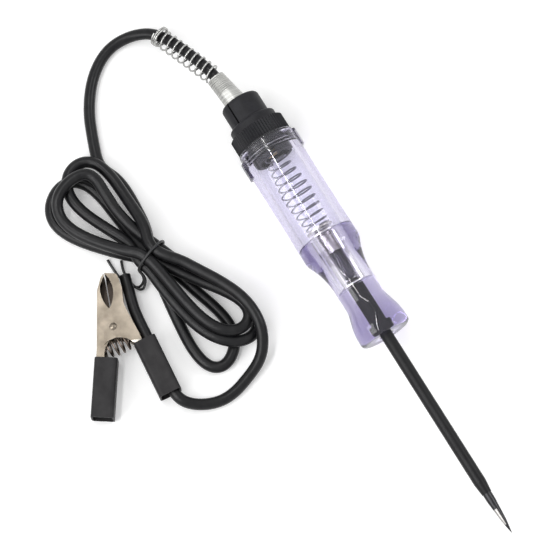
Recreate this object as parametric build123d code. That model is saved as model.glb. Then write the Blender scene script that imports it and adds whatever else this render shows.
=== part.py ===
from build123d import *
import os
from math import acos, atan2, cos, degrees, pi, radians, sin, tan

# Circuit test light: a clear screwdriver-shaped handle with a needle probe, a lamp and a spring
# inside, and a tied lead that ends in a spring clip. Millimetres. +X runs along the handle towards
# the needle's tip, +Z is up, and everything lies on z = 0. The origin is on that surface, under the
# middle of the hand tool (handle, needle, cap and ferrule, without the lead and its clip).

# ---- handle (clear moulded barrel) ----
barrel_d = 20.4
barrel_len = 76.6
bore_d = 14.8             # wide bore that takes the cap's spigot and the long spring
waist_d = 14.2
lip_d = 18.2
lip_round = 1.6
shoulder_from_lip = 34.4  # where the barrel starts to narrow
shoulder_round = 5.0
shoulder_slope = 27.0     # steepest slope of the shoulder, in degrees
flare_len = 12.5
flare_round = 19.5
lamp_seat_from_lip = 38.7
lamp_bore_d = 9.2
lamp_bore_end_from_lip = 19.4
pad_len = 5.5             # two raised pads beside the cap
pad_w = 5.0
pad_proud = 0.5
pad_root = 1.0            # how deep they are set in the wall
pad_from_cap = 5.2

# ---- needle ----
needle_out = 76.0         # from the lip to the tip
needle_d = 3.0
needle_point = 19.0
needle_behind_bushing = 2.0
sleeve_d = 4.2
sleeve_taper = 4.0        # how far the sleeve follows the point's taper
sleeve_tuck = 3.5         # its root, which is set in the bushing
sleeve_root_d = 3.7
tip_round = 0.12          # radius of the needle's very end
bushing_d = 5.0
bushing_head_d = 6.3
bushing_head_len = 4.0
bushing_len = 17.0
bushing_recess = 0.2

# ---- lamp ----
cage_flange_d = 11.6
cage_sheet = 0.5
cage_strip_w = 1.3
cage_strips = 4
lamp_flange_d = 8.8
lamp_flange_t = 0.6
lamp_base_d = 6.3
lamp_base_len = 6.2
lamp_glass_d = 6.0
lamp_glass_len = 11.4
glass_wall = 0.4
glass_in_base = 2.6
lamp_insulator_d = 4.8
lamp_insulator_t = 0.7
lamp_contact_d = 2.4
lamp_contact_t = 0.5
filament_d = 0.5
filament_len = 2.4
support_wire_d = 0.3
filament_from_base = 5.6
seat_washer_d = 9.4
seat_washer_t = 0.6

# ---- long spring between the cap and the lamp ----
lamp_wire_d = 0.6
spring_cap_d = 6.6
spring_mid_d = 11.0
spring_lamp_d = 8.4
spring_turns_cap = 6.5
spring_turns_lamp = 5.5
spring_end_pitch = 1.4    # over the first and the last turn

# ---- cap ----
gasket_t = 0.5
gasket_d = 18.6
knurl_d = 19.6
knurl_len = 5.3
knurl_depth = 0.35
knurl_ribs = 60
ring_d = 16.8
ring_len = 3.2
ring_round = 0.9
neck_d = 13.8
neck_len = 8.4
neck_round = 1.5
neck_slot = 0.6
neck_slot_angle = 42.0    # from straight up, towards -Y
thread_pitch = 1.25
thread_turns = 3
thread_start = 0.8
thread_depth = 0.45
thread_flank = 0.44
thread_crest = 0.31
skirt_d = 14.3
skirt_len = 6.5           # how far the spigot reaches into the barrel
skirt_notches = 4
notch_w = 1.6
notch_len = 2.0
cap_cavity_d = 10.6

# ---- terminal that the wire is soldered to ----
terminal_d = 9.8
terminal_t = 0.6
terminal_boss_d = 4.8
terminal_boss_len = 1.6
terminal_hole_d = 2.0
terminal_from_skirt = 3.2
strands_d = 1.8
solder_fill = 0.8         # how full of solder its cup is

# ---- ferrule and strain spring ----
ferrule_d = 7.5
ferrule_end_d = 6.3
ferrule_len = 18.0        # from its pivot point in the neck to its outer end
ferrule_pivot = 7.0       # how deep in the neck that point is
ferrule_inner = 2.0
ferrule_land = 1.0        # straight length beyond the pivot, before the taper
ferrule_bore_d = 5.5
ferrule_yaw = 8.0         # the ferrule leans towards -Y, in degrees
groove_count = 9
groove_pitch = 0.65
groove_depth = 0.14
groove_w = 0.4
strain_wire_d = 0.65
strain_coil_d = 6.4
strain_pitch = 2.6
strain_turns = 9
strain_end_coil_d = 7.0
strain_end_turns = 2.0
strain_end_pitch = 0.72
strain_run_out = 1.0      # straight cable beyond the coil
strain_yaw = 20.5
strain_droop = 10.0

# ---- cable ----
cable_d = 3.9
cable_on_floor = cable_d / 2 + 0.05

# ---- clip ----
clip_x = -35.0            # the pin's place
clip_y = -74.9
clip_angle = 159.4        # the jaws point this way, in degrees from +X
sheet = 0.55
clip_w = 7.0              # over the outer ears
jaw_len = 18.4            # from the pin to the jaws' tips
jaw_line = 0.3            # between the closed jaws' edges
joggle_x = -5.6           # where the wider half narrows to its handle
joggle_len = 0.8
pin_d = 2.2
pin_head_d = 2.9
pin_head_t = 0.45
handle_depth = 2.6
grip_wall = 0.5           # PVC sleeve on each handle
grip_round = 1.4
grip_len = 20.0
cable_grip_x = -6.0       # where each sleeve starts, from the pin
lever_grip_x = -9.0
clip_spring_d = 4.2
clip_spring_wire = 0.6
clip_spring_turns = 8
spring_on_lever = (-7.2, 4.9)
spring_on_cable = (-4.1, -7.0)
solder_wire_d = 1.2
solder_from_end = 2.5
solder_d = 2.8
solder_height = 1.2

# ---- hank and its tie ----
tie_d = 0.9
hank_x = -49.2            # the tie's place
hank_y = -52.0
hank_angle = 19.4         # from +X to the right-hand lobe, in degrees
hank_h = 9.6
hank_waist_d = 11.7
hank_waist_len = 2.4
bend_out = 0.3            # the cable bears on the outer side of the ferrule's mouth

# ---- clearances ----
close_fit = 0.05
loose_fit = 0.15
open_gap = 0.3
floor_gap = 0.05
overrun = 1.0             # how far a cutter reaches past what it cuts
hank_waist_z = hank_waist_d / 2 + tie_d + 2 * floor_gap
clip_z = clip_w / 2 + max(pin_head_t, close_fit + grip_wall) + floor_gap

# ---- stations along the handle ----
axis_z = barrel_d / 2
ferrule_reach = ferrule_len * cos(radians(ferrule_yaw)) + ferrule_end_d / 2 * sin(radians(ferrule_yaw))
tool_len = needle_out + barrel_len + gasket_t + knurl_len + ring_len + neck_len
tool_len += ferrule_reach - ferrule_pivot
x_tip = tool_len / 2
x_lip = x_tip - needle_out
x_open = x_lip - barrel_len
x_knurl = x_open - gasket_t
x_ring = x_knurl - knurl_len
x_neck = x_ring - ring_len
x_cap_end = x_neck - neck_len
x_skirt = x_open + skirt_len
x_terminal = x_skirt - terminal_from_skirt
x_lamp_seat = x_lip - lamp_seat_from_lip
x_lamp_flange = x_lamp_seat - cage_sheet - close_fit
x_lamp_back = x_lamp_flange - lamp_flange_t
x_seat_washer = x_lamp_back - lamp_insulator_t - lamp_contact_t
x_bushing_front = x_lip - bushing_recess
x_bushing_back = x_bushing_front - bushing_len
x_needle_back = x_bushing_back - needle_behind_bushing
x_cage_end = x_lip - lamp_bore_end_from_lip - close_fit
x_point = x_tip - needle_point


def rod(x0, x1, d):
    """A cylinder on the handle's axis."""
    return Pos((x0 + x1) / 2, 0, axis_z) * Rot(0, 90, 0) * Cylinder(d / 2, x1 - x0)


def turned(*outline):
    """A solid of revolution on the handle's axis, from its half outline of edges or points."""
    return Pos(0, 0, axis_z) * revolve(make_face(outline), Axis.X)


def profile(points):
    """A solid of revolution from the corner points (x, radius) of its half outline."""
    return turned(Polyline(*points, close=True))


# ================= handle =================
def make_barrel():
    r = barrel_d / 2
    waist = waist_d / 2
    lip = lip_d / 2
    slope = radians(shoulder_slope)
    x_shoulder = x_lip - shoulder_from_lip
    hollow_round = (r - waist) / (1 - cos(slope)) - shoulder_round
    x_waist = x_shoulder + (shoulder_round + hollow_round) * sin(slope)
    x_flare = x_lip - flare_len
    flare_turn = acos(1 - (lip - waist) / flare_round)
    x_flare_end = x_flare + flare_round * sin(flare_turn)
    shoulder = CenterArc((x_shoulder, r - shoulder_round), shoulder_round, 90, -shoulder_slope)
    hollow = CenterArc((x_waist, waist + hollow_round), hollow_round, 270 - shoulder_slope, shoulder_slope)
    flare = CenterArc((x_flare, waist + flare_round), flare_round, 270, degrees(flare_turn))
    corner = CenterArc((x_lip - lip_round, lip - lip_round), lip_round, 90, -90)
    head_bore = bushing_head_d / 2 + close_fit
    needle_bore = bushing_d / 2 + close_fit
    x_head = x_bushing_front - bushing_head_len
    x_lamp_end = x_lip - lamp_bore_end_from_lip
    inside = Polyline(
        (x_lip, lip - lip_round), (x_lip, head_bore), (x_head, head_bore), (x_head, needle_bore),
        (x_lamp_end, needle_bore), (x_lamp_end, lamp_bore_d / 2), (x_lamp_seat, lamp_bore_d / 2),
        (x_lamp_seat, bore_d / 2), (x_open, bore_d / 2), (x_open, r), (x_shoulder, r),
    )
    straight = Line((x_waist, waist), (x_flare, waist))
    lip_land = Line((x_flare_end, lip), (x_lip - lip_round, lip))
    body = turned(*inside.edges(), shoulder, hollow, straight, flare, lip_land, corner)
    x_pad = x_open + pad_from_cap
    pads = rod(x_pad, x_pad + pad_len, barrel_d + 2 * pad_proud)
    pads &= Pos(x_pad, 0, axis_z) * Box(2 * pad_len, barrel_d * 2, pad_w)
    pads -= rod(x_pad, x_pad + pad_len, barrel_d - 2 * pad_root)
    return body + pads


def make_needle_bushing():
    x_head = x_bushing_front - bushing_head_len
    body = rod(x_bushing_back, x_bushing_front, bushing_d) + rod(x_head, x_bushing_front, bushing_head_d)
    body -= rod(x_bushing_back, x_bushing_front, needle_d)
    return body - rod(x_bushing_front - sleeve_tuck, x_bushing_front, sleeve_root_d)


def point_radius(x):
    """Radius of the needle's point, which starts from the sleeve's outside."""
    return sleeve_d / 2 * (x_tip - x) / needle_point


def make_probe_sleeve():
    x0 = x_bushing_front - sleeve_tuck
    x_end = x_point + sleeve_taper
    r = sleeve_d / 2
    root = sleeve_root_d / 2
    hole = needle_d / 2
    return profile([
        (x0, hole), (x0, root), (x_bushing_front, root), (x_bushing_front, r), (x_point, r),
        (x_end, point_radius(x_end)), (x_end, hole),
    ])


def make_probe_needle():
    r = needle_d / 2
    x_taper = x_tip - needle_point * needle_d / sleeve_d
    x_end = x_tip - needle_point * 2 * tip_round / sleeve_d
    return profile([
        (x_needle_back, 0), (x_needle_back, r), (x_taper, r), (x_end, tip_round), (x_tip, tip_round / 2),
        (x_tip, 0),
    ])


def make_lamp_cage():
    """Sheet-metal contact: a flange on the seat, strips beside the bulb and a disc on the needle."""
    strip_d = lamp_bore_d - 2 * loose_fit
    x0 = x_lamp_seat - cage_sheet
    x1 = x_cage_end
    shell = rod(x0, x1, strip_d) - rod(x0, x1, strip_d - 2 * cage_sheet)
    strips = Part()
    for n in range(cage_strips // 2):
        strips += Pos((x0 + x1) / 2, 0, axis_z) * Rot(180 * n / (cage_strips // 2) + 45, 0, 0) * Box(
            x1 - x0, cage_strip_w, lamp_bore_d * 2
        )
    shell &= strips
    shell += rod(x0, x_lamp_seat, cage_flange_d)
    shell += rod(x1 - cage_sheet, x1, strip_d)
    shell -= rod(x0 - overrun, x_lamp_seat + overrun, lamp_base_d + 2 * loose_fit)
    return shell - rod(x1 - cage_sheet - overrun, x1 + overrun, needle_d + 2 * close_fit)


# ================= lamp =================
def make_lamp_base():
    x1 = x_lamp_flange + lamp_base_len
    shell = rod(x_lamp_back, x1, lamp_base_d) + rod(x_lamp_back, x_lamp_flange, lamp_flange_d)
    shell -= rod(x_lamp_back, x1, lamp_glass_d - glass_wall)
    return shell - rod(x1 - glass_in_base, x1, lamp_glass_d)


def make_lamp_glass():
    x0 = x_lamp_flange + lamp_base_len - glass_in_base
    r = lamp_glass_d / 2
    inner = r - glass_wall
    x1 = x0 + lamp_glass_len + glass_in_base
    dome = x1 - r
    outline = [
        Line((x0, inner), (x0, r)),
        Line((x0, r), (dome, r)),
        CenterArc((dome, 0), r, 90, -90),
        Line((x1, 0), (x1 - glass_wall, 0)),
        CenterArc((dome, 0), inner, 0, 90),
        Line((dome, inner), (x0, inner)),
    ]
    return turned(*outline)


def make_lamp_insulator():
    glass = rod(x_lamp_back - lamp_insulator_t, x_lamp_back, lamp_insulator_d)
    return glass + rod(x_lamp_back, x_lamp_flange + lamp_insulator_t, lamp_glass_d - glass_wall)


def make_lamp_contact():
    x1 = x_lamp_back - lamp_insulator_t
    return rod(x1 - lamp_contact_t, x1, lamp_contact_d)


def make_lamp_supports():
    wires = Part()
    x0 = x_lamp_flange + lamp_insulator_t
    x1 = x_lamp_flange + lamp_base_len + filament_from_base
    for side in (-1, 1):
        wires += Pos(0, side * filament_len / 2, 0) * rod(x0, x1, support_wire_d)
    return wires


def make_lamp_filament():
    x = x_lamp_flange + lamp_base_len + filament_from_base
    coil = Rot(90, 0, 0) * Cylinder(filament_d / 2, filament_len + 2 * support_wire_d)
    return Pos(x + filament_d / 2, 0, axis_z) * coil


def make_spring_seat():
    """Cupped washer that the long spring presses on the lamp's end contact."""
    disc = rod(x_seat_washer - seat_washer_t, x_seat_washer, seat_washer_d)
    boss_d = spring_lamp_d - 2 * lamp_wire_d - 2 * loose_fit
    return disc + rod(x_seat_washer - 2 * seat_washer_t, x_seat_washer, boss_d)


def lamp_spring_turn(turn, x0, x1):
    """A point on the spring's wire after so many turns: narrow at the cap, widest at its middle."""
    turns = spring_turns_cap + spring_turns_lamp
    open_pitch = (x1 - x0 - 2 * spring_end_pitch) / (turns - 2)
    x = x0 + min(turn, 1) * spring_end_pitch + min(max(turn - 1, 0), turns - 2) * open_pitch
    x += max(turn - turns + 1, 0) * spring_end_pitch
    d = spring_cap_d + (spring_mid_d - spring_cap_d) * turn / spring_turns_cap
    if turn > spring_turns_cap:
        d = spring_lamp_d + (spring_mid_d - spring_lamp_d) * (turns - turn) / spring_turns_lamp
    r = (d - lamp_wire_d) / 2
    return Vector(x, r * sin(2 * pi * turn), axis_z + r * cos(2 * pi * turn))


def make_lamp_spring():
    x0 = x_terminal + lamp_wire_d / 2
    x1 = x_seat_washer - seat_washer_t - lamp_wire_d / 2
    steps = 12
    count = round((spring_turns_cap + spring_turns_lamp) * steps)
    path = Spline(*[lamp_spring_turn(n / steps, x0, x1) for n in range(count + 1)])
    return sweep(Plane(origin=path @ 0, z_dir=path % 0) * Circle(lamp_wire_d / 2), path=path, is_frenet=True)


# ================= cap =================
def knurled_ring(x0, x1):
    points = []
    for n in range(2 * knurl_ribs):
        turn = pi * n / knurl_ribs
        r = knurl_d / 2 - (n % 2) * knurl_depth
        points.append((r * cos(turn), r * sin(turn)))
    ring = extrude(make_face(Polyline(*points, close=True)), x1 - x0)
    return Pos(x0, 0, axis_z) * Rot(0, 90, 0) * ring


def thread_outline():
    """Ridges of the spigot's screw thread, from the knurled ring towards the skirt."""
    crest = skirt_d / 2
    root = crest - thread_depth
    x = x_open + thread_start
    points = [(x_knurl, root), (x, root)]
    for n in range(thread_turns):
        points += [(x + thread_flank, crest), (x + thread_flank + thread_crest, crest)]
        x += thread_pitch
        points.append((x, root))
    return points


def ferrule_direction():
    return Vector(-cos(radians(ferrule_yaw)), -sin(radians(ferrule_yaw)), 0)


def ferrule_plane():
    return Plane(origin=(x_cap_end + ferrule_pivot, 0, axis_z), z_dir=ferrule_direction())


def make_cap():
    root = skirt_d / 2 - thread_depth
    x_thread_end = x_open + thread_start + thread_turns * thread_pitch
    x_back = x_terminal - terminal_t
    points = thread_outline()
    points += [
        (x_thread_end, skirt_d / 2), (x_skirt, skirt_d / 2), (x_skirt, cap_cavity_d / 2),
        (x_back, cap_cavity_d / 2), (x_back, 0), (x_knurl - overrun, 0), (x_knurl - overrun, root),
    ]
    spigot = profile(points)
    for n in range(skirt_notches // 2):
        notch = Box(notch_len * 2, notch_w, skirt_d * 2)
        spigot -= Pos(x_skirt, 0, axis_z) * Rot(180 * n / (skirt_notches // 2), 0, 0) * notch
    ring = rod(x_neck, x_ring, ring_d)
    ring = fillet(ring.edges().group_by(Axis.X)[0], ring_round)
    neck = rod(x_cap_end, x_neck + ring_len, neck_d)
    neck = fillet(neck.edges().group_by(Axis.X)[0], neck_round)
    body = spigot + knurled_ring(x_ring, x_knurl) + ring + neck
    cable_hole = cable_d + 2 * open_gap
    body -= rod(x_cap_end, x_back, cable_hole)
    pocket_len = ferrule_len - ferrule_inner
    pocket = Cylinder((ferrule_d + close_fit) / 2, pocket_len, align=(Align.CENTER, Align.CENTER, Align.MIN))
    body -= ferrule_plane() * Pos(0, 0, ferrule_inner - close_fit) * pocket
    slot = Box(2 * neck_len, neck_slot, neck_d * 2)
    return body - Pos(x_cap_end, 0, axis_z) * Rot(neck_slot_angle, 0, 0) * slot


def make_cap_gasket():
    return rod(x_knurl, x_open, gasket_d) - rod(x_knurl, x_open, skirt_d + 2 * close_fit)


def make_cable_terminal():
    disc = rod(x_terminal - terminal_t, x_terminal, terminal_d)
    boss = rod(x_terminal, x_terminal + terminal_boss_len, terminal_boss_d)
    cup = rod(x_terminal, x_terminal + terminal_boss_len, terminal_boss_d - 2 * terminal_t)
    return disc + boss - cup - rod(x_terminal - terminal_t, x_terminal, terminal_hole_d)


def make_wire_strands():
    """Bare end of the cable's wire, through the terminal's hole."""
    return rod(x_terminal - terminal_t, x_terminal + terminal_boss_len / 2, strands_d)


def make_terminal_solder():
    cup_d = terminal_boss_d - 2 * terminal_t
    pool = rod(x_terminal, x_terminal + terminal_boss_len * solder_fill, cup_d)
    return pool - rod(x_terminal, x_terminal + terminal_boss_len / 2, strands_d)


# ================= ferrule and strain spring =================
def make_ferrule():
    """Nickel tube, held in the split neck; its outer half is ringed with fine grooves."""
    taper_start = ferrule_pivot + ferrule_land
    taper = (ferrule_d - ferrule_end_d) / 2 / (ferrule_len - taper_start)
    bore = ferrule_bore_d / 2
    points = [(bore, ferrule_inner), (ferrule_d / 2, ferrule_inner), (ferrule_d / 2, taper_start)]
    for n in range(groove_count, 0, -1):
        z = ferrule_len - n * groove_pitch
        r = ferrule_d / 2 - (z - taper_start) * taper
        points += [(r, z - groove_w / 2), (r - groove_depth, z), (r, z + groove_w / 2)]
    points += [(ferrule_end_d / 2, ferrule_len), (bore, ferrule_len)]
    outline = Polyline(*[(r, 0, z) for r, z in points], close=True)
    return ferrule_plane() * revolve(make_face(outline), Axis.Z)


def strain_direction():
    flat = cos(radians(strain_droop))
    return Vector(
        -cos(radians(strain_yaw)) * flat, -sin(radians(strain_yaw)) * flat, -sin(radians(strain_droop))
    )


def strain_start():
    tilt = radians(ferrule_direction().get_angle(strain_direction()))
    reach = ferrule_len + close_fit + strain_wire_d / 2 + strain_coil_d / 2 * sin(tilt)
    return Vector(x_cap_end + ferrule_pivot, 0, axis_z) + ferrule_direction() * reach


def strain_len():
    return strain_turns * strain_pitch + strain_end_turns * strain_end_pitch


def round_wire_coil(pitch, height, coil_d, wire_d):
    path = Helix(pitch, height, (coil_d - wire_d) / 2)
    return sweep(Plane(origin=path @ 0, z_dir=path % 0) * Circle(wire_d / 2), path=path, is_frenet=True)


def make_strain_spring():
    """Open coil over the cable, with close and slightly wider turns at its far end."""
    open_len = strain_turns * strain_pitch
    coil = round_wire_coil(strain_pitch, open_len, strain_coil_d, strain_wire_d)
    close_len = strain_end_turns * strain_end_pitch
    close = round_wire_coil(strain_end_pitch, close_len, strain_end_coil_d, strain_wire_d)
    coil += Pos(0, 0, open_len) * close
    return Plane(origin=strain_start(), z_dir=strain_direction()) * coil


# ================= cable =================
# Corner points of the lead's route. The arcs between its straight runs cut inside these points.
def lead_route():
    start = Vector(x_terminal - terminal_t, 0, axis_z)
    pivot = Vector(x_cap_end + ferrule_pivot, 0, axis_z)
    outward = (ferrule_direction() - strain_direction()).normalized()
    mouth = pivot + ferrule_direction() * ferrule_len + outward * bend_out
    coil_end = strain_start() + strain_direction() * (strain_len() + strain_run_out)
    return [
        start, pivot, mouth, coil_end,
        Vector(-121.0, -17.6, 2.6),
        Vector(-121.4, -27.4, cable_on_floor),
        Vector(-115.4, -36.6, cable_on_floor),
        Vector(-105.4, -43.8, cable_on_floor),
        Vector(-95.6, -47.8, cable_on_floor),
        Vector(-86.4, -51.0, cable_on_floor),
    ]


def tail_route():
    return [
        Vector(-35.4, -39.9, 5.4),
        Vector(-24.4, -33.4, 4.6),
        Vector(-13.6, -31.4, 3.2),
        Vector(-3.2, -35.8, 2.2),
        Vector(3.4, -43.8, cable_on_floor),
        Vector(4.6, -54.2, cable_on_floor),
        beside_clip(-30.6, -24.0, 2.6),
        beside_clip(-27.6, -16.7, clip_z),
        beside_clip(4.0, -8.0, clip_z),
        beside_clip(16.5, -7.2, clip_z - 0.6),
    ]


def corner_radii(route):
    """Each arc takes 0.45 of the shorter of its two runs."""
    radii = []
    for before, corner, after in zip(route, route[1:], route[2:]):
        turn = radians((corner - before).get_angle(after - corner))
        run = min((corner - before).length, (after - corner).length)
        radii.append(0.45 * run / tan(turn / 2))
    return radii


def cable_tube(route):
    path = FilletPolyline(*route, radius=corner_radii(route))
    return sweep(Plane(origin=path @ 0, z_dir=path % 0) * Circle(cable_d / 2), path=path)


# ---- hank: the tied loops, as one closed body of their outer shape ----
def taut_outline(*circles):
    """Outline of a string drawn round circles, each (x, y, radius) in the hank's own axes."""
    rounds = Sketch() + [Pos(x, y) * Circle(r) for x, y, r in circles]
    return make_face(make_hull(rounds.edges()).edges())


def make_cable_hank():
    waist_r = hank_waist_d / 2
    left = taut_outline((-31.0, 4.4, 11.0), (-31.0, -2.4, 10.2), (-2.0, 0, waist_r))
    left -= taut_outline((-31.0, 1.8, 2.6), (-25.5, 2.6, 3.1), (-14.5, 1.2, 0.6))
    right = taut_outline((2.0, 0, waist_r), (34.0, 2.0, 7.6), (24.0, -4.6, 6.8))
    right -= taut_outline((34.0, 1.6, 1.6), (21.0, 1.8, 0.6))
    low = taut_outline((8.0, -2.5, 4.5), (30.0, -9.0, 8.4), (38.0, -10.0, 7.8))
    low -= taut_outline((29.5, -9.9, 3.6), (37.0, -10.6, 3.9))
    body = extrude(left, hank_h) + extrude(right, hank_h) + extrude(low, cable_d)
    body = Pos(0, 0, floor_gap) * body - Box(hank_waist_len, hank_waist_d * 3, hank_h * 3)
    body += Pos(0, 0, hank_waist_z) * Rot(0, 90, 0) * Cylinder(waist_r, 2 * hank_waist_len)
    body = Pos(hank_x, hank_y, 0) * Rot(0, 0, hank_angle) * body
    return body - cable_tube(lead_route()) - cable_tube(tail_route())


def tie_wire(*route, radius):
    path = FilletPolyline(*[Vector(*p) for p in route], radius=radius)
    return sweep(Plane(origin=path @ 0, z_dir=path % 0) * Circle(tie_d / 2), path=path)


def make_twist_tie():
    """Plastic-covered wire: one turn round the waist, a twist at its side and two loose ends."""
    ring = Torus(hank_waist_d / 2 + tie_d / 2, tie_d / 2)
    ring = Pos(hank_x, hank_y, hank_waist_z) * Rot(0, 0, hank_angle) * Rot(0, 90, 0) * ring
    low = tie_d / 2 + floor_gap
    twist = (hank_x + 2.4, hank_y - 5.4, hank_waist_z - 2.2)
    ends = tie_wire(twist, (-44.6, -59.4, low + 0.6), (-50.4, -61.9, low), (-54.6, -62.4, low), radius=1.2)
    ends += tie_wire(twist, (-45.2, -60.4, low), (-50.0, -63.4, low), (-56.6, -65.2, low), radius=1.2)
    return ring + ends


# ================= clip =================
# In the clip's own axes +X points to the jaws' tips, +Y to the half that opens, and the pin is at
# the origin.
def beside_clip(x, y, z):
    turn = radians(clip_angle)
    return Vector(clip_x + x * cos(turn) - y * sin(turn), clip_y + x * sin(turn) + y * cos(turn), z)


def on_clip(shape):
    return Pos(clip_x, clip_y, clip_z) * Rot(0, 0, clip_angle) * shape


def cable_edge():
    """Outer edge of the half that carries the cable, from its tip to its handle's end."""
    corners = [
        (jaw_len, -jaw_line / 2), (jaw_len - 0.9, -4.2), (jaw_len - 5.9, -5.1), (7.0, -4.7), (-3.5, -8.0),
        (-18.0, -12.0),
    ]
    return FilletPolyline(*corners, radius=[1.4, 3.0, 8.0, 8.0])


def lever_edge():
    corners = [
        (jaw_len, jaw_line / 2), (jaw_len - 1.2, 1.3), (jaw_len - 5.4, 3.2), (2.0, 5.1), (-6.0, 6.5),
        (-24.0, 10.8),
    ]
    return FilletPolyline(*corners, radius=[0.7, 3.0, 20.0, 20.0])


def channel_back(edge, inward, width):
    """Sheet metal that follows an outer edge, over the whole width of the channel."""
    band = make_face(edge.offset_2d(sheet, side=inward, closed=True))
    return Pos(0, 0, -width / 2) * extrude(band, width)


def side_plate(edge, inner, z):
    """Flat wall between an outer edge and the inner outline that closes it."""
    return Pos(0, 0, z) * extrude(make_face(edge.edges() + Curve(inner).edges()), sheet)


def handle_inside(edge):
    """Inner corner at a handle's end, one depth in from its outer edge."""
    inward = Vector(0, 0, 1).cross(edge % 1)
    side = -1 if inward.Y * (edge @ 1).Y > 0 else 1
    return edge @ 1 + inward * side * handle_depth


def pin_hole(clearance):
    return Cylinder(pin_d / 2 + clearance, 2 * clip_w)


def beyond_jaw_line(side):
    """The room of the other jaw, so that the two closed jaws leave a thin line between them."""
    room = 2 * jaw_len
    return Pos(jaw_len * 0.6 + room / 2, side * (room - jaw_line) / 2, 0) * Box(room, room, room)


def make_clip_half_cable():
    """Stamped half whose ears lie outside; its handle is as narrow as the other half's."""
    edge = cable_edge()
    tip = edge @ 0
    end = edge @ 1
    inner_end = handle_inside(edge)
    heel = (-7.0, inner_end.Y + (-7.0 - inner_end.X) * ((edge % 1).Y / (edge % 1).X))
    ear = (-5.4, 3.9)
    border = (4.8, 2.4)
    notch = (6.3, 0.2)
    lip = (jaw_len - 0.5, -0.5)
    handle = [Line(end, inner_end), Line(inner_end, heel), ThreePointArc(heel, (-3.9, -0.9), ear)]
    near = handle + [Line(ear, border), Line(border, notch), ThreePointArc(notch, (12.4, -2.1), lip)]
    near.append(Line(lip, tip))
    far = handle + [Line(ear, border), Line(border, (8.0, tip.Y)), Line((8.0, tip.Y), tip)]
    ears = side_plate(edge, near, clip_w / 2 - sheet) + side_plate(edge, far, -clip_w / 2)
    narrow = inner_half_width()
    room = 3 * jaw_len
    wide_part = Pos(joggle_x + room / 2, 0, 0) * Box(room, room, room)
    joggle = Pos(joggle_x, -room / 2, 0) * Box(2 * joggle_len, room, room)
    back = channel_back(edge, Side.RIGHT, clip_w) & wide_part
    body = (ears & wide_part) + back
    handle_walls = side_plate(edge, near, narrow - sheet) + side_plate(edge, near, -narrow)
    step = side_plate(edge, near, narrow - sheet / 2) + side_plate(edge, near, -narrow - sheet / 2)
    body += (handle_walls + channel_back(edge, Side.RIGHT, 2 * narrow)) - wide_part
    body += step & joggle
    return on_clip(body - pin_hole(0) - solder_hole() - beyond_jaw_line(1))


def inner_half_width():
    """Half the width over the inner ears, which turn between the outer ones."""
    return clip_w / 2 - sheet - close_fit


def make_clip_half_lever():
    """Stamped half whose ears lie inside; it turns on the pin."""
    edge = lever_edge()
    tip = edge @ 0
    end = edge @ 1
    inner_end = handle_inside(edge)
    heel = (-8.4, inner_end.Y + (-8.4 - inner_end.X) * ((edge % 1).Y / (edge % 1).X))
    ear = (-2.6, -3.0)
    chin = (3.2, -3.0)
    notch = (6.3, 0.2)
    lip = (jaw_len - 0.8, 0.6)
    ear_lines = [
        Line(end, inner_end), Line(inner_end, heel), ThreePointArc(heel, (-3.4, 0.6), ear), Line(ear, chin),
    ]
    near = ear_lines + [Line(chin, notch), ThreePointArc(notch, (12.2, 2.2), lip), Line(lip, tip)]
    far = ear_lines + [Line(chin, (notch[0], tip.Y)), Line((notch[0], tip.Y), tip)]
    narrow = inner_half_width()
    body = side_plate(edge, near, narrow - sheet) + side_plate(edge, far, -narrow)
    body += channel_back(edge, Side.LEFT, 2 * narrow)
    return on_clip(body - pin_hole(close_fit) - beyond_jaw_line(-1))


def make_clip_pin():
    pin = Cylinder(pin_d / 2, clip_w)
    for side in (-1, 1):
        pin += Pos(0, 0, side * (clip_w + pin_head_t) / 2) * Cylinder(pin_head_d / 2, pin_head_t)
    return on_clip(pin)


def make_clip_spring():
    """Compression spring between the two handles."""
    start = Vector(*spring_on_lever, 0)
    end = Vector(*spring_on_cable, 0)
    height = (end - start).length
    coil = round_wire_coil(height / clip_spring_turns, height, clip_spring_d, clip_spring_wire)
    return on_clip(Plane(origin=start, z_dir=end - start) * coil)


def solder_place():
    """Where the wire's strands go through the handle's web, inside the sleeve."""
    edge = cable_edge()
    along = edge % 1
    place = edge @ 1 - along * solder_from_end
    return Plane(origin=place, z_dir=Vector(-along.Y, along.X, 0) * -1)


def solder_hole():
    return solder_place() * Cylinder(solder_wire_d / 2, 4 * sheet)


def make_clip_strands():
    reach = sheet + solder_height / 2
    wire = Cylinder(solder_wire_d / 2, reach, align=(Align.CENTER, Align.CENTER, Align.MIN))
    return on_clip(solder_place() * wire)


def make_clip_solder():
    foot = (Align.CENTER, Align.CENTER, Align.MIN)
    blob = Pos(0, 0, sheet) * Cone(solder_d / 2, solder_d / 4, solder_height, align=foot)
    blob -= Cylinder(solder_wire_d / 2, sheet + solder_height / 2, align=foot)
    return on_clip(solder_place() * blob)


def grip(edge, start_x, low, high):
    """Soft tube over a handle: it spans from low to high across the handle's outer edge."""
    along = edge % 1
    back_off = ((edge @ 1).X - start_x) / along.X
    start = edge @ 1 - along * back_off
    width = high - low
    height = clip_w + 2 * (close_fit + grip_wall)
    frame = Plane(origin=start, x_dir=(-along.Y, along.X, 0), z_dir=along)
    outside = RectangleRounded(width, height, grip_round)
    inside = RectangleRounded(width - 2 * grip_wall, height - 2 * grip_wall, grip_round - grip_wall)
    return on_clip(frame * Pos((low + high) / 2, 0, 0) * extrude(outside - inside, grip_len))


def make_grip_cable():
    """Sleeve round the handle and the cable beside it."""
    inner = handle_depth + close_fit + grip_wall
    outer = cable_d + 2 * close_fit + grip_wall
    return grip(cable_edge(), cable_grip_x, -inner, outer)


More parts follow.
